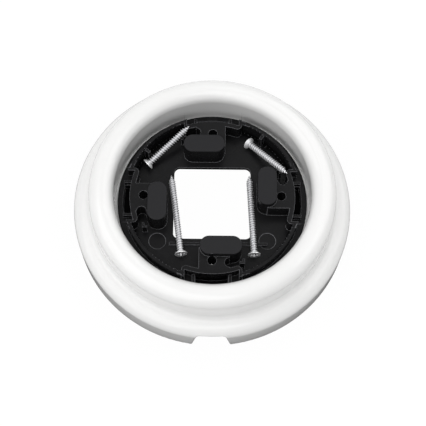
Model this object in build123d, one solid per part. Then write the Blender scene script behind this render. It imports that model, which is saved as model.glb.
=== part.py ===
from build123d import *
import os
from math import asin, atan2, cos, degrees, hypot, radians, sin

# Surface mounting frame of a wall socket: a porcelain surround, a moulded plate seated in it, four loose screws.
# The frame stands on z = 0, its axis is Z, and the cable notch looks along -Y.

# Porcelain surround
flange_diameter = 122.6      # flange side, carried up to the level of the flange top
foot_inset = 0.4             # the flange side leans in by this much down to the foot
flange_height = 17.7
ring_diameter = 106.8        # upper ring, outside
throat_diameter = 85.2       # round hole that the socket goes into
overall_height = 34.0
shoulder_radius = 5.0        # flange top to flange side
cove_radius = 2.6            # flange top to upper ring
roll_outer_radius = 5.0      # rolled top, outer half
roll_inner_radius = 4.6      # rolled top, inner half
foot_radius = 2.2
ledge_height = 16.2          # seat of the plate
ledge_hole_diameter = 79.2
ledge_thickness = 4.7
skirt_wall = 8.0             # wall between the cavity and the flange side
cavity_fillet = 2.5
cavity_mouth_radius = 1.1

# Cable notch in the foot
notch_top_width = 12.2
notch_foot_width = 16.6
notch_height = 14.0
notch_corner_radius = 2.0
notch_relief = 3.0           # how far past the cavity wall the notch runs
notch_edge_radius = 0.7

# Mounting plate
band_clearance = 1.0         # plate band to throat
sleeve_clearance = 0.6       # plate sleeve to the hole in the ledge
band_thickness = 2.0
rim_rise = 5.8               # lug plane above the band
floor_drop = 8.2             # floor below the lug plane
floor_thickness = 2.0
rim_thickness = 1.8
rim_edge_radius = 0.4
window_side = 34.0
window_corner_radius = 2.5

# Lugs, four of them, at 90 degrees: r runs outward, t runs round anticlockwise
fixing_circle_diameter = 60.0
lug_hole_diameter = 4.0
lug_start = -5.6             # t of the straight lug side
lug_end = 7.5                # t where the U notch opens
lug_inner = 24.0
u_notch_width = 4.2
u_notch_centre = 30.7        # r of the U notch
pad_inner = 19.7
pad_outer = 28.1
pad_start = -5.2
pad_end = 12.8
pad_rise = 3.0               # pad above the lug plane
pad_corner_radius = 4.0
pad_edge_radius = 0.4
moulding_wall = 1.8          # skin left over a pocket in the underside

# Bays behind the lugs, each with a deep slot for a catch of the cover
bay_half_width = 11.7
bay_side_wall = 1.2
bay_wall_inner = 34.0
bay_wall_outer = 36.0
bay_wall_corner = 2.0
slot_half_width = 7.0
slot_outer = 39.2
slot_floor = 1.2             # skin left under the slot
pillar_offset = 7.2          # t where a pillar starts
pillar_width = 1.2
pillar_rise = 2.3
pillar_setback = 0.2         # pillar to the outside of the sleeve

# Small features of the floor
guide_length = 2.2           # wire guide beside each pad, an L in plan
guide_wall = 0.9
guide_rise = 5.8
stub_angles = (53, 143)      # two short ribs on the inside of the rim
stub_inner = 35.0
stub_width = 1.3
stub_drop = 0.8              # stub below the lug plane
sill_offset = 19.6           # low bar across the floor on the notch side
sill_start = -18.6
sill_end = 24.0
sill_width = 1.2
sill_rise = 0.9
ejector_diameter = 7.4
ejector_depth = 0.2
ejector_circle = 30.0
ejector_angles = (217.5, 323.5)

# Screws: countersunk, cross recess, self-tapping
thread_diameter = 2.9
head_diameter = 5.5
head_height = 1.65
head_edge = 0.35
point_length = 3.0
point_diameter = 0.3
recess_span = 3.2
recess_width = 0.9
recess_depth = 1.4
long_length = 38.0
short_length = 25.0
rest_gap = 0.05              # between a loose screw and what carries it

overrun = 1.0                # how far a cut runs past what it cuts, and a piece into what it joins
shoulder_share = 0.64        # of the step between the rings, the most that the shoulder takes
cove_share = 0.33            # the most that the cove takes
roll_outer_share = 0.47      # of the upper ring's wall, the most that the outer half of its top takes
roll_inner_share = 0.43

# Where the long screws lie on the floor: middle of the head in plan, and heading
long_left_head = (-13.3, -25.3)
long_left_heading = 97.5
long_right_head = (18.25, -25.4)
long_right_heading = 92.95

# Where the short screws lean on the bay walls: place round the plate, heading, and how far from the head
short_left_place = 109.9
short_left_heading = 40.7
short_left_span = 23.5
short_right_place = 19.0
short_right_heading = -46.6
short_right_span = 24.1

flange_r = flange_diameter / 2
ring_r = ring_diameter / 2
throat_r = throat_diameter / 2
ledge_r = ledge_hole_diameter / 2
cavity_r = flange_r - skirt_wall
roof_z = ledge_height - ledge_thickness

band_r = throat_r - band_clearance
sleeve_r = ledge_r - sleeve_clearance
rim_inner = sleeve_r - rim_thickness
band_top = ledge_height + band_thickness
lug_top = band_top + rim_rise
floor_top = lug_top - floor_drop
floor_bottom = floor_top - floor_thickness
pad_top = lug_top + pad_rise
fixing_r = fixing_circle_diameter / 2
through = overall_height * 2
head_r = head_diameter / 2
thread_r = thread_diameter / 2


def rounded(face, radii):
    """Fillet the corners of a flat outline that lie nearest the given points."""
    for point, radius in radii:
        corner = face.vertices().sort_by_distance(Vector(*point))[0]
        face = fillet(corner, radius)
    return face


def upright(r, z):
    """A point of a section that is drawn in the XZ plane."""
    return (r, 0, z)


def make_surround():
    section = Plane.XZ * make_face(Polyline(
        (cavity_r, 0),
        (flange_r - foot_inset, 0),
        (flange_r, flange_height),
        (ring_r, flange_height),
        (ring_r, overall_height),
        (throat_r, overall_height),
        (throat_r, ledge_height),
        (ledge_r, ledge_height),
        (ledge_r, roof_z),
        (cavity_r, roof_z),
        close=True,
    ))
    step = flange_r - ring_r
    wall = ring_r - throat_r
    section = rounded(section, [
        (upright(flange_r - foot_inset, 0), foot_radius),
        (upright(flange_r, flange_height), min(shoulder_radius, shoulder_share * step)),
        (upright(ring_r, flange_height), min(cove_radius, cove_share * step)),
        (upright(ring_r, overall_height), min(roll_outer_radius, roll_outer_share * wall)),
        (upright(throat_r, overall_height), min(roll_inner_radius, roll_inner_share * wall)),
        (upright(cavity_r, roof_z), cavity_fillet),
        (upright(cavity_r, 0), cavity_mouth_radius),
    ])
    body = revolve(section, Axis.Z)

    half_top = notch_top_width / 2
    half_foot = notch_foot_width / 2
    outline = make_face(Polyline(
        (-half_foot, -overrun),
        (half_foot, -overrun),
        (half_foot, 0),
        (half_top, notch_height),
        (-half_top, notch_height),
        (-half_foot, 0),
        close=True,
    ))
    outline = rounded(outline, [
        ((half_top, notch_height), notch_corner_radius),
        ((-half_top, notch_height), notch_corner_radius),
    ])
    notch = extrude(Plane.XZ.offset(cavity_r - notch_relief) * outline, flange_r)
    body -= notch
    mouth = body.edges().filter_by(lambda e: is_notch_mouth(e))
    return fillet(mouth, notch_edge_radius)


def is_notch_mouth(edge):
    """Edges where the notch meets the outer skin, above the foot."""
    middle = edge.center(CenterOf.MASS)
    low = edge.bounding_box().max.Z < foot_radius
    outside = hypot(middle.X, middle.Y) > cavity_r + skirt_wall / 2
    across = abs(middle.X) < notch_foot_width / 2 + 0.5
    return across and outside and not low and middle.Y < 0 and middle.Z < notch_height + 0.5


def ring_strip(r_in, r_out, half_width):
    """Flat piece of a ring about +X, cut off level on both sides."""
    strip = Pos(r_out, 0) * Rectangle(2 * r_out, 2 * half_width)
    return (Circle(r_out) - Circle(r_in)) & strip


def on_circle(r, angle):
    return (r * cos(radians(angle)), r * sin(radians(angle)))


def raised(face, z_low, z_high):
    return extrude(Pos(0, 0, z_low) * face, z_high - z_low)


def block(r_low, r_high, t_low, t_high, z_low, z_high):
    size = (r_high - r_low, t_high - t_low, z_high - z_low)
    centre = Pos((r_low + r_high) / 2, (t_low + t_high) / 2, (z_low + z_high) / 2)
    return centre * Box(*size)


def pad_outline(inset):
    width = pad_outer - pad_inner - 2 * inset
    length = pad_end - pad_start - 2 * inset
    centre = Pos((pad_inner + pad_outer) / 2, (pad_start + pad_end) / 2)
    return centre * RectangleRounded(width, length, pad_corner_radius - inset)


def make_lug():
    """Everything that one lug adds to the plate."""
    half_width = bay_half_width + bay_side_wall
    wall = ring_strip(bay_wall_inner, sleeve_r, half_width)
    reach = (bay_wall_inner ** 2 - half_width ** 2) ** 0.5
    wall = rounded(wall, [
        ((reach, half_width), bay_wall_corner),
        ((reach, -half_width), bay_wall_corner),
    ])
    lug = raised(wall, floor_bottom, lug_top)
    lug += block(lug_inner, bay_wall_inner + overrun, lug_start, lug_end, floor_bottom, lug_top)

    pad = raised(pad_outline(0), floor_bottom, pad_top)
    lug += fillet(pad.edges().group_by(Axis.Z)[-1], pad_edge_radius)

    guide_top = floor_top + guide_rise
    guide_r = pad_outer + guide_length
    guide_t = pad_end - guide_wall + guide_length
    lug += block(pad_outer, guide_r, guide_t - guide_wall, guide_t, floor_top, guide_top)
    lug += block(guide_r - guide_wall, guide_r, guide_t - guide_length, guide_t, floor_top, guide_top)
    return lug


def make_lug_cuts():
    """Everything that one lug takes away: bay, slot, screw hole, U notch and the pocket below the pad."""
    bay = ring_strip(bay_wall_outer, band_r + overrun, bay_half_width)
    cuts = raised(bay, band_top, lug_top + overrun)
    slot = ring_strip(bay_wall_outer, slot_outer, slot_half_width)
    cuts += raised(slot, floor_bottom + slot_floor, band_top + overrun)
    cuts += Pos(fixing_r, 0, 0) * Cylinder(lug_hole_diameter / 2, through)
    cuts += raised(Pos(u_notch_centre, lug_end) * Circle(u_notch_width / 2), floor_top, lug_top + overrun)
    cuts += raised(pad_outline(moulding_wall), floor_bottom - overrun, pad_top - moulding_wall)
    return cuts


def make_pillars():
    """Two low stubs, one at each end of a slot."""
    pillar = block(bay_wall_outer - overrun, sleeve_r - pillar_setback, pillar_offset, pillar_offset + pillar_width,
                   band_top - overrun, band_top + pillar_rise)
    return pillar + mirror(pillar, Plane.XZ)


def make_plate():
    section = Plane.XZ * make_face(Polyline(
        (0, floor_bottom),
        (sleeve_r, floor_bottom),
        (sleeve_r, ledge_height),
        (band_r, ledge_height),
        (band_r, band_top),
        (sleeve_r, band_top),
        (sleeve_r, lug_top),
        (rim_inner, lug_top),
        (rim_inner, floor_top),
        (0, floor_top),
        close=True,
    ))
    section = rounded(section, [
        (upright(band_r, band_top), rim_edge_radius),
        (upright(sleeve_r, lug_top), rim_edge_radius),
        (upright(rim_inner, lug_top), rim_edge_radius),
        (upright(rim_inner, floor_top), rim_edge_radius),
    ])
    plate = revolve(section, Axis.Z)

    turns = [Rot(0, 0, 90 * k) for k in range(4)]
    lug = make_lug()
    cuts = make_lug_cuts()
    pillars = make_pillars()
    for turn in turns:
        plate += turn * lug
    for turn in turns:
        plate -= turn * cuts
    for turn in turns:
        plate += turn * pillars

    stub = block(stub_inner, rim_inner + rim_thickness / 2, -stub_width / 2, stub_width / 2,
                 floor_top, lug_top - stub_drop)
    for angle in stub_angles:
        plate += Rot(0, 0, angle) * stub
    sill = block(sill_start, sill_end, -sill_offset - sill_width / 2, -sill_offset + sill_width / 2,
                 floor_top, floor_top + sill_rise)
    plate += sill
    window = RectangleRounded(window_side, window_side, window_corner_radius)
    plate -= raised(window, floor_bottom - overrun, lug_top + overrun)
    for angle in ejector_angles:
        x, y = on_circle(ejector_circle, angle)
        plate -= Pos(x, y, floor_top) * Cylinder(ejector_diameter / 2, ejector_depth * 2)
    return plate


def make_screw(length):
    """A screw along +Z with the middle of its head face at the origin and its tip at z = length."""
    section = Plane.XZ * make_face(Polyline(
        (0, 0),
        (head_r, 0),
        (head_r, head_edge),
        (thread_r, head_height),
        (thread_r, length - point_length),
        (point_diameter / 2, length),
        (0, length),
        close=True,
    ))
    screw = revolve(section, Axis.Z)
    slot = Box(recess_span, recess_width, recess_depth * 2)
    return screw - (slot + Rot(0, 0, 90) * slot)


def laid(length, head, heading, rise):
    """Lay a screw with the rim of its head just above the floor and its tip rising or falling."""
    lean = radians(rise)
    turn = radians(heading)
    direction = (cos(lean) * cos(turn), cos(lean) * sin(turn), sin(lean))
    lowest = head_r * cos(lean) + max(0, -head_edge * sin(lean))
    height = floor_top + rest_gap + lowest
    return Plane(origin=(*head, height), z_dir=direction).location * make_screw(length)


def lying(length, head, heading):
    """A screw flat on the floor, its head rim and its last full thread touching."""
    fall = atan2(head_r - thread_r, length - point_length - head_edge)
    return laid(length, head, heading, -degrees(fall))


def leaning(length, place, heading, span):
    """A screw with its head on the floor, lying over the inner top edge of a bay wall near its tip."""
    into_point = max(0, span - (length - point_length))
    under = thread_r - into_point * (thread_r - point_diameter / 2) / point_length
    rise = asin(floor_drop / hypot(span, head_r - under)) - atan2(head_r - under, span)
    run = span * cos(rise) + under * sin(rise)
    edge_x, edge_y = on_circle(bay_wall_inner, place)
    back_x, back_y = on_circle(run, heading)
    return laid(length, (edge_x - back_x, edge_y - back_y), heading, degrees(rise))


parts = {
    "porcelain_surround": make_surround(),
    "mounting_plate": make_plate(),
    "long_screw_left": lying(long_length, long_left_head, long_left_heading),
    "long_screw_right": lying(long_length, long_right_head, long_right_heading),
    "short_screw_left": leaning(short_length, short_left_place, short_left_heading, short_left_span),
    "short_screw_right": leaning(short_length, short_right_place, short_right_heading, short_right_span),
}

os.makedirs("parts", exist_ok=True)
for name, solid in parts.items():
    export_step(solid, f"parts/{name}.step")
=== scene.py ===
import bmesh
import bpy
from math import hypot, pi, radians
from mathutils import Matrix, Vector


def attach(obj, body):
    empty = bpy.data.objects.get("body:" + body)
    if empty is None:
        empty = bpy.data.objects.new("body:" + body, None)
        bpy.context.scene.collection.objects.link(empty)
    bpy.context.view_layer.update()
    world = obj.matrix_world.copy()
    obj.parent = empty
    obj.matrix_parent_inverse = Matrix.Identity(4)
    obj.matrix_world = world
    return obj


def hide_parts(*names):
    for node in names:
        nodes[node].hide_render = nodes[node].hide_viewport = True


# Looks of the surface mounting frame: glazed porcelain, moulded black plastic, bright zinc-plated screws.
# Everything is in metres, in the frame of the solids. z = 0 is the wall side, and the notch looks along -Y.

MM = 0.001
EDGE_MARK = "rounded_edge"    # 1 on the faces that the rounding of the plate's edges made, which carry a painted highlight
CREST_MARK = "thread_crest"   # 1 on a screw's crests and head, 0 in its roots and the middle of its recess, where shade is painted

# Surround and plate. A pair holds the two heights between which one finish turns into the other.
BARE_WARE = (0.5 * MM, 0.9 * MM)      # bare ware below, glaze above
PAD_TOP = (26.6 * MM, 26.9 * MM)      # the lugs below, the tops of their pads above
BELOW_FLOOR = (15.1 * MM, 15.5 * MM)  # the window's walls below, the plate's floor above
BAY_WALL_R = 35.9 * MM                # the band with the slots lies outside it
BAND_RISE = 2.6 * MM                  # from the plate's floor up to the band
PLATE_ROUNDING = 0.09 * MM            # less than half of the plate's smallest detail
PLATE_SHARP = radians(35)             # edges that turn more than this are rounded
PLATE_FLAT = radians(0.5)             # triangles that turn less than this are joined first
FACET_GAP = 0.002 * MM                # corners of loose triangles that lie closer than this are one

# Screws, as in the solids, with the thread that those leave out
THREAD_R = 1.45 * MM
CORE_R = 1.08 * MM
HEAD_R = 2.75 * MM
HEAD_EDGE = 0.35 * MM
HEAD_CHAMFER = 0.06 * MM
HEAD_HEIGHT = 1.65 * MM
POINT_LENGTH = 3.0 * MM
POINT_R = 0.15 * MM
TIP_R = 0.08 * MM
PITCH = 1.1 * MM
THREAD_FOOT_R = 0.8 * CORE_R    # sunk in the core, so that no gap shows
THREAD_ROOT = 0.34 * MM         # half the thread's thickness at its foot
THREAD_CREST = 0.05 * MM        # half its thickness at the crest
THREAD_START = HEAD_HEIGHT - 0.3 * PITCH
THREAD_STOP = 0.2 * MM          # from the thread's end to the tip
STEPS_PER_TURN = 20
STEPS_ROUND = 48
SCREW_SHARP = radians(38)       # edges that turn more than this are shaded sharp
SEAM_GAP = 0.001 * MM           # points of the turned shape that lie closer than this are one

# Driver's recess, cut by a cross that tapers from above the head's face down to the recess's floor
RECESS_SPAN = 3.2 * MM
RECESS_WIDTH = 0.9 * MM
RECESS_DEPTH = 1.4 * MM
CROSS_RISE = 0.3 * MM
CROSS_TOP = (1.15 * RECESS_SPAN, 1.1 * RECESS_WIDTH)
CROSS_END = (0.35 * RECESS_SPAN, 0.5 * RECESS_WIDTH)

# Colours
GLAZE_DIM = (0.86, 0.858, 0.85, 1)
GLAZE_BRIGHT = (0.885, 0.885, 0.88, 1)
BARE_CLAY = (0.74, 0.72, 0.68, 1)
BLACK_DEEP = (0.0065, 0.0065, 0.007, 1)
BLACK_PALE = (0.0105, 0.0105, 0.0112, 1)
# painted shade for the slots and the window's walls
BLACK_SUNK_SHADE = (0.0008, 0.0008, 0.0009, 1)
BLACK_PAD = (0.019, 0.019, 0.0205, 1)
# painted highlight on the rounded edges
BLACK_EDGE_HIGHLIGHT = (0.17, 0.17, 0.18, 1)
ZINC_DIM = (0.9, 0.91, 0.93, 1)
ZINC_BRIGHT = (0.97, 0.97, 0.97, 1)
# painted shade in the thread's roots and the recess
ZINC_ROOT_SHADE = (0.4, 0.4, 0.42, 1)
FLOOR_SHADED = (0.12, 0.12, 0.12, 1)
FLOOR_PALE = (0.85, 0.85, 0.85, 1)
WHITE = (1, 1, 1, 1)

# Staged floor: its zones, by distance from the frame's axis
FLOOR_HALF = 3000 * MM
BESIDE_FOOT_R = 60 * MM               # the camera sees white outside it
SHADED_R = 61 * MM                    # the painted shadow is darkest inside it
MIRRORED_R = 95 * MM                  # whitest in reflections outside it
PALE_R = 120 * MM                     # palest as a surface outside it
WINDOW_PATCH = (6.4 * MM, 29.5 * MM)  # y of the centre and radius of what is seen through the window
NOTCH_PATCH = (-60 * MM, 13 * MM)     # and through the cable notch
SEEN_WHITE = 0.95                     # share of white in what the camera sees. The rest carries the shadow.
MIRRORED_WHITE = 0.86
FLOOR_GLOW = 1.04

# Sky as a light: weakest at the horizon, strongest where a direction's upward share passes SKY_TURN
SKY_LOW = 0.12
SKY_HIGH = 0.64
SKY_TURN = 0.6

# Lamps: name, place, side in metres, power in watts
LAMPS = [("overhead", (-0.55, -0.35, 1.0), 1.6, 8.7), ("far_right", (0.7, 0.5, 0.9), 1.2, 4.2)]

# Camera: fitted to the photograph, aimed at the middle of the plane of the lugs
LUG_PLANE = Vector((0, 0, 24 * MM))
LUG_PLANE_AT = (212.4, 195.5)    # pixel at which the aimed point is seen
IMAGE_SIZE = 426
FOCAL_LENGTH = 1132              # in pixels
CAMERA_SENSOR = 36
CAMERA_DISTANCE = 492.3 * MM
CAMERA_ELEVATION = radians(66.83)
CAMERA_AZIMUTH = radians(0.72)
CAMERA_ROLL = radians(1.25)

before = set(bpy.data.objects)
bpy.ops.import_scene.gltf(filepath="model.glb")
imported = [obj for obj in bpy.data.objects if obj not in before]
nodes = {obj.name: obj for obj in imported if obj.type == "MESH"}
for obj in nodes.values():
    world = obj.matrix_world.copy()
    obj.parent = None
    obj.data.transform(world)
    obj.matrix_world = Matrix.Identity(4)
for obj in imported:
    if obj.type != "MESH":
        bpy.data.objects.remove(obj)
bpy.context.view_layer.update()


# Materials

class Value:
    """A socket that Python's operators work on."""

    def __init__(self, paint, socket):
        self.paint = paint
        self.socket = socket

    def maths(self, operation, first, second):
        return self.paint.add("ShaderNodeMath", {"operation": operation}, {0: first, 1: second})

    def __add__(self, other):
        return self.maths("ADD", self, other)

    def __sub__(self, other):
        return self.maths("SUBTRACT", self, other)

    def __rsub__(self, other):
        return self.maths("SUBTRACT", other, self)

    def __mul__(self, other):
        return self.maths("MULTIPLY", self, other)

    def __lt__(self, other):
        return self.maths("LESS_THAN", self, other)

    def __gt__(self, other):
        return self.maths("GREATER_THAN", self, other)

    __radd__ = __add__
    __rmul__ = __mul__


class Paint:
    """A material, or the world, that is built node by node."""

    def __init__(self, owner):
        self.owner = owner
        owner.use_nodes = True
        self.tree = owner.node_tree
        self.tree.nodes.clear()

    def add(self, kind, settings=None, inputs=None, output=0):
        """A new node, with its settings made before its sockets are filled or linked. Gives one output."""
        node = self.tree.nodes.new(kind)
        for key, setting in (settings or {}).items():
            setattr(node, key, setting)
        for key, given in (inputs or {}).items():
            if isinstance(given, Value):
                self.tree.links.new(given.socket, node.inputs[key])
            else:
                node.inputs[key].default_value = given
        return Value(self, node.outputs[output] if len(node.outputs) else None)

    def place(self):
        return self.add("ShaderNodeTexCoord", output="Object")

    def noise(self, scale, detail=2.0, roughness=0.5):
        return self.add("ShaderNodeTexNoise", None,
                        {"Vector": self.place(), "Scale": scale, "Detail": detail, "Roughness": roughness})

    def along(self, axis, vector):
        """One coordinate of a vector."""
        return self.add("ShaderNodeSeparateXYZ", None, {"Vector": vector}, output=axis)

    def reach(self, y=0):
        """Distance from the upright line through (0, y)."""
        flat = self.add("ShaderNodeVectorMath", {"operation": "MULTIPLY"}, {0: self.place(), 1: (1, 1, 0)})
        return self.add("ShaderNodeVectorMath", {"operation": "DISTANCE"}, {0: flat, 1: (0, y, 0)},
                        output="Value")

    def patch(self, y, radius):
        """1 inside a round patch about (0, y), else 0."""
        return self.reach(y) < radius

    def ramp(self, value, low, high, start=0.0, end=1.0):
        """The value from low to high, stretched to start to end and held there."""
        return self.add("ShaderNodeMapRange", {"clamp": True},
                        {"Value": value, "From Min": low, "From Max": high, "To Min": start, "To Max": end})

    def mix(self, factor, first, second):
        return self.add("ShaderNodeMix", {"data_type": "RGBA"}, {"Factor": factor, 6: first, 7: second},
                        output=2)

    def bump(self, height, distance, strength, under=None):
        inputs = {"Height": height, "Distance": distance, "Strength": strength}
        if under is not None:
            inputs["Normal"] = under
        return self.add("ShaderNodeBump", None, inputs)

    def mark(self, name):
        """A value that the piece's own mesh carries."""
        return self.add("ShaderNodeAttribute", {"attribute_name": name}, output="Fac")

    def ray(self, kind):
        """1 for rays of one kind, else 0."""
        return self.add("ShaderNodeLightPath", output=f"Is {kind} Ray")

    def surface(self, inputs):
        shader = self.add("ShaderNodeBsdfPrincipled", None, inputs)
        self.add("ShaderNodeOutputMaterial", None, {"Surface": shader})
        return self.owner


def glazed_porcelain():
    """White glaze, a little uneven, with bare ware on the ring that the piece stands on."""
    paint = Paint(bpy.data.materials.new("glazed_porcelain"))
    bare = paint.ramp(paint.along("Z", paint.place()), *BARE_WARE, start=1, end=0)
    glaze = paint.mix(paint.noise(45), GLAZE_DIM, GLAZE_BRIGHT)
    waves = paint.bump(paint.noise(70, detail=1), distance=0.05 * MM, strength=0.5)
    grain = paint.bump(paint.noise(1600) * bare, distance=0.05 * MM, strength=0.6, under=waves)
    return paint.surface({
        "Base Color": paint.mix(bare, glaze, BARE_CLAY),
        "Roughness": paint.ramp(bare, 0, 1, start=0.16, end=0.75),
        "Coat Weight": paint.ramp(bare, 0, 1, start=0.5, end=0),
        "Coat Roughness": 0.04,
        "Normal": grain,
    })


def black_plastic():
    """Injection-moulded black plastic: fine grain, duller pads, rough slots and window walls with painted
    shade, and a painted highlight on the rounded edges.
    """
    paint = Paint(bpy.data.materials.new("moulded_black_plastic"))
    height = paint.along("Z", paint.place())
    cloud = paint.noise(160, detail=3)
    pad = paint.ramp(height, *PAD_TOP)
    # Outside the bays' walls all below the band is slot, inside them all below the floor is window. Both are
    # rougher there and carry painted shade.
    level = height - (paint.reach() > BAY_WALL_R) * BAND_RISE
    sunk = paint.ramp(level, *BELOW_FLOOR, start=1, end=0)
    moulded = paint.mix(cloud, BLACK_DEEP, BLACK_PALE)
    dull = paint.mix(pad, paint.mix(sunk, moulded, BLACK_SUNK_SHADE), BLACK_PAD)
    return paint.surface({
        # The rounded edges get a painted highlight.
        "Base Color": paint.mix(paint.mark(EDGE_MARK), dull, BLACK_EDGE_HIGHLIGHT),
        "Roughness": paint.ramp(cloud, 0.3, 0.7, start=0.2, end=0.32) + pad * 0.2 + sunk * 0.65,
        "Specular IOR Level": 0.1,
        "Normal": paint.bump(paint.noise(2600, detail=3, roughness=0.6), distance=0.02 * MM, strength=0.4),
    })


def zinc_steel():
    """Bright zinc plating with faint clouding and fine grain, with painted shade in the roots of the thread
    and in the middle of the recess.
    """
    paint = Paint(bpy.data.materials.new("zinc_plated_steel"))
    plated = paint.mix(paint.noise(900, detail=3), ZINC_DIM, ZINC_BRIGHT)
    flank = paint.ramp(paint.mark(CREST_MARK), 0, 0.5)
    return paint.surface({
        "Base Color": paint.mix(flank, ZINC_ROOT_SHADE, plated),
        "Metallic": 0.5,
        "Roughness": paint.ramp(paint.noise(1500), 0.3, 0.7, start=0.28, end=0.4),
        "Normal": paint.bump(paint.noise(5200), distance=0.01 * MM, strength=0.5),
    })


# Meshes and objects

def finished_mesh(bm, name):
    """The mesh that a bmesh becomes when its shape is done."""
    mesh = bpy.data.meshes.new(name)
    bm.to_mesh(mesh)
    bm.free()
    return mesh


def placed(data, name):
    """An object of the scene that shows a mesh, a lamp or a camera."""
    thing = bpy.data.objects.new(name, data)
    bpy.context.scene.collection.objects.link(thing)
    return thing


# Screws

def average(points):
    return sum(points, Vector()) / len(points)


def screw_ends(node):
    """The middle of the head's face and the middle of the tip of a plain screw solid, read from its mesh."""
    points = [Vector(p) for p in {tuple(round(c, 7) for c in v.co) for v in node.data.vertices}]
    middle = average(points)
    near_tip = max(points, key=lambda p: (p - middle).length)
    tip = average([p for p in points if (p - near_tip).length < 3 * POINT_R])
    reach = max((p - tip).length for p in points)
    head = average([p for p in points if (p - tip).length > reach - HEAD_EDGE / 4])
    return head, tip


def shank(length, name):
    """A screw's head, core and point, turned about Z, with the head's face at z = 0."""
    outline = [(0, 0), (HEAD_R - HEAD_CHAMFER, 0), (HEAD_R, HEAD_CHAMFER), (HEAD_R, HEAD_EDGE),
               (CORE_R, HEAD_HEIGHT), (CORE_R, length - POINT_LENGTH), (TIP_R, length), (0, length)]
    bm = bmesh.new()
    line = [bm.verts.new((r, 0, z)) for r, z in outline]
    edges = [bm.edges.new(pair) for pair in zip(line, line[1:])]
    bmesh.ops.spin(bm, geom=line + edges, cent=(0, 0, 0), axis=(0, 0, 1), dvec=(0, 0, 0),
                   angle=2 * pi, steps=STEPS_ROUND, use_merge=True)
    bmesh.ops.remove_doubles(bm, verts=bm.verts, dist=SEAM_GAP)
    bmesh.ops.recalc_face_normals(bm, faces=bm.faces)
    return finished_mesh(bm, name)


def drawn_in(height, length):
    """The share of its width that a screw keeps at a height: 1 along the shank, least at the point."""
    along = max(0, (height - length + POINT_LENGTH) / POINT_LENGTH)
    return 1 - along * (1 - POINT_R / THREAD_R)


def screw_thread(length):
    """The helical ridge: a small trapezium wound round Z, drawn in towards the point."""
    bm = bmesh.new()
    section = [(THREAD_FOOT_R, -THREAD_ROOT), (THREAD_R, -THREAD_CREST),
               (THREAD_R, THREAD_CREST), (THREAD_FOOT_R, THREAD_ROOT)]
    face = bm.faces.new([bm.verts.new((r, 0, THREAD_START + z)) for r, z in section])
    turns = (length - THREAD_START - THREAD_STOP) / PITCH
    bmesh.ops.spin(bm, geom=[face, *face.edges, *face.verts], cent=(0, 0, 0), axis=(0, 0, 1),
                   dvec=(0, 0, PITCH / STEPS_PER_TURN), angle=2 * pi * turns,
                   steps=round(turns * STEPS_PER_TURN))
    for v in bm.verts:
        v.co.x *= drawn_in(v.co.z, length)
        v.co.y *= drawn_in(v.co.z, length)
    bmesh.ops.recalc_face_normals(bm, faces=bm.faces)
    return finished_mesh(bm, "thread")


def cross_cutter():
    """A tapered cross that cuts the driver's recess into a head face at z = 0."""
    bm = bmesh.new()
    for turn in (0, pi / 2):
        arm = bmesh.ops.create_cube(bm, size=1)["verts"]
        for v in arm:
            deep = v.co.z > 0
            span, width = CROSS_END if deep else CROSS_TOP
            v.co.x *= span
            v.co.y *= width
            v.co.z = RECESS_DEPTH if deep else -CROSS_RISE
        bmesh.ops.rotate(bm, verts=arm, cent=(0, 0, 0), matrix=Matrix.Rotation(turn, 3, "Z"))
    bmesh.ops.recalc_face_normals(bm, faces=bm.faces)
    return placed(finished_mesh(bm, "cross_cutter"), "cross_cutter")


def carved(screw, cutter):
    """The screw's mesh with the cutter's shape taken out."""
    cut = screw.modifiers.new("recess", "BOOLEAN")
    cut.operation = "DIFFERENCE"
    cut.object = cutter
    cut.use_self = True
    bpy.context.view_layer.update()
    mesh = bpy.data.meshes.new_from_object(screw.evaluated_get(bpy.context.evaluated_depsgraph_get()))
    screw.modifiers.clear()
    return mesh


def threaded_screw(node, cutter, material):
    """A screw with its thread and recess, in the place of a plain solid."""
    head, tip = screw_ends(node)
    length = (tip - head).length
    name = node.name + "_threaded"
    screw = placed(shank(length, name), name)
    bm = bmesh.new()
    bm.from_mesh(carved(screw, cutter))
    bm.from_mesh(screw_thread(length))
    crest = bm.verts.layers.float.new(CREST_MARK)
    # The mark lays painted shade in the thread's roots and the middle of the recess.
    for v in bm.verts:
        full_r = hypot(v.co.x, v.co.y) / drawn_in(v.co.z, length)
        v[crest] = min(1, max(0, (full_r - CORE_R) / (THREAD_R - CORE_R)))
    turn = (tip - head).to_track_quat("Z", "Y").to_matrix().to_4x4()
    bmesh.ops.transform(bm, matrix=Matrix.Translation(head) @ turn, verts=bm.verts)
    for face in bm.faces:
        face.smooth = True
    for edge in bm.edges:
        edge.smooth = len(edge.link_faces) == 2 and edge.calc_face_angle(0) < SCREW_SHARP
    screw.data = finished_mesh(bm, name)
    screw.data.materials.append(material)
    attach(screw, "root")
    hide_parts(node.name)


# Surround and plate

def dress(node, material):
    node.data.materials.clear()
    node.data.materials.append(material)


def softened(node, width, material):
    """A copy of a solid whose sharp edges are rounded as a mould leaves them. It stands for the node."""
    bm = bmesh.new()
    bm.from_mesh(node.data)
    bmesh.ops.remove_doubles(bm, verts=bm.verts, dist=FACET_GAP)
    bmesh.ops.dissolve_limit(bm, angle_limit=PLATE_FLAT, use_dissolve_boundaries=False,
                             verts=bm.verts, edges=bm.edges)
    bmesh.ops.triangulate(bm, faces=bm.faces)
    sharp = [e for e in bm.edges if len(e.link_faces) == 2 and e.calc_face_angle(0) > PLATE_SHARP]
    mark = bm.faces.layers.float.new(EDGE_MARK)
    rounded = bmesh.ops.bevel(bm, geom=sharp, offset=width, offset_type="OFFSET", affect="EDGES", segments=2,
                              profile=0.5, material=-1, clamp_overlap=False)
    for face in rounded["faces"]:
        face[mark] = 1.0
    for face in bm.faces:
        face.smooth = True
    bmesh.ops.triangulate(bm, faces=bm.faces)
    name = node.name + "_softened"
    piece = placed(finished_mesh(bm, name), name)
    piece.modifiers.new("even_shading", "WEIGHTED_NORMAL").keep_sharp = True
    piece.data.materials.append(material)
    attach(piece, "root")
    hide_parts(node.name)


# Floor, sky, lamps and camera

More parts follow.
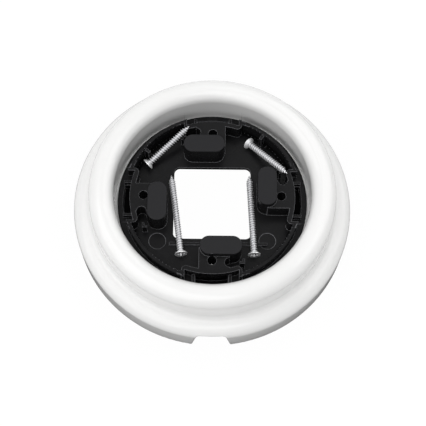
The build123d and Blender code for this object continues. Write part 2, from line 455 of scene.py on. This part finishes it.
def pale_floor():
    """White to the camera and in reflections away from the foot. Round the foot a painted shadow darkens it
    in reflections and as a surface to other light.
    """
    paint = Paint(bpy.data.materials.new("pale_floor"))
    from_axis = paint.reach()
    beside_foot = from_axis > BESIDE_FOOT_R
    seen = paint.ramp(beside_foot + paint.patch(*WINDOW_PATCH) + paint.patch(*NOTCH_PATCH), 0, 1)
    # Near the foot, the floor's reflections fade into a painted shadow.
    away = paint.ramp(from_axis, SHADED_R, MIRRORED_R)
    mirrored = (paint.ray("Glossy") + paint.ray("Transmission")) * away
    share = paint.ray("Camera") * seen * SEEN_WHITE + mirrored * MIRRORED_WHITE
    # As a surface the floor is painted darker towards the foot: a painted shadow.
    pale = paint.mix(paint.ramp(from_axis, SHADED_R, PALE_R), FLOOR_SHADED, FLOOR_PALE)
    matt = paint.add("ShaderNodeBsdfDiffuse", None, {"Color": pale})
    glow = paint.add("ShaderNodeEmission", None, {"Color": WHITE, "Strength": FLOOR_GLOW})
    blend = paint.add("ShaderNodeMixShader", None, {0: share, 1: matt, 2: glow})
    paint.add("ShaderNodeOutputMaterial", None, {"Surface": blend})
    return paint.owner


def staged_floor():
    bm = bmesh.new()
    bmesh.ops.create_grid(bm, x_segments=1, y_segments=1, size=FLOOR_HALF)
    floor = placed(finished_mesh(bm, "floor"), "floor")
    floor.data.materials.append(pale_floor())


def studio_sky():
    """White to the camera and in reflections. As a light it is dimmer towards the horizon."""
    air = Paint(bpy.data.worlds.new("studio"))
    seen = air.ray("Camera") + air.ray("Glossy") + air.ray("Transmission")
    upward = air.along("Z", air.add("ShaderNodeTexCoord", output="Generated"))
    lit = air.ramp(upward, 0, SKY_TURN, SKY_LOW, SKY_HIGH)
    sky = air.add("ShaderNodeBackground", None, {"Color": WHITE, "Strength": lit + seen * (1 - lit)})
    air.add("ShaderNodeOutputWorld", None, {"Surface": sky})
    return air.owner


def softbox(name, place, side, power):
    """A square lamp that faces the lugs."""
    light = bpy.data.lights.new(name, "AREA")
    light.shape = "RECTANGLE"
    light.size = side
    light.size_y = side
    light.energy = power
    facing = (Vector(place) - LUG_PLANE).to_track_quat("Z", "Y").to_matrix().to_4x4()
    placed(light, name).matrix_world = Matrix.Translation(place) @ facing


def photo_camera():
    data = bpy.data.cameras.new("camera")
    data.sensor_width = CAMERA_SENSOR
    data.lens = CAMERA_SENSOR * FOCAL_LENGTH / IMAGE_SIZE
    data.shift_x = (IMAGE_SIZE / 2 - LUG_PLANE_AT[0]) / IMAGE_SIZE
    data.shift_y = (LUG_PLANE_AT[1] - IMAGE_SIZE / 2) / IMAGE_SIZE
    turned = (Matrix.Rotation(-CAMERA_AZIMUTH, 4, "Z") @ Matrix.Rotation(pi / 2 - CAMERA_ELEVATION, 4, "X")
              @ Matrix.Rotation(CAMERA_ROLL, 4, "Z"))
    towards = turned.to_3x3() @ Vector((0, 0, 1))
    camera = placed(data, "camera")
    camera.matrix_world = Matrix.Translation(LUG_PLANE + CAMERA_DISTANCE * towards) @ turned
    return camera


# The object

dress(nodes["porcelain_surround"], glazed_porcelain())
softened(nodes["mounting_plate"], PLATE_ROUNDING, black_plastic())

steel = zinc_steel()
cutter = cross_cutter()
for side in ("left", "right"):
    for kind in ("long", "short"):
        threaded_screw(nodes[f"{kind}_screw_{side}"], cutter, steel)
bpy.data.objects.remove(cutter)

# Its setting

staged_floor()
bpy.context.scene.world = studio_sky()
for lamp in LAMPS:
    softbox(*lamp)
bpy.context.scene.camera = photo_camera()
bpy.context.scene.view_settings.view_transform = "Standard"
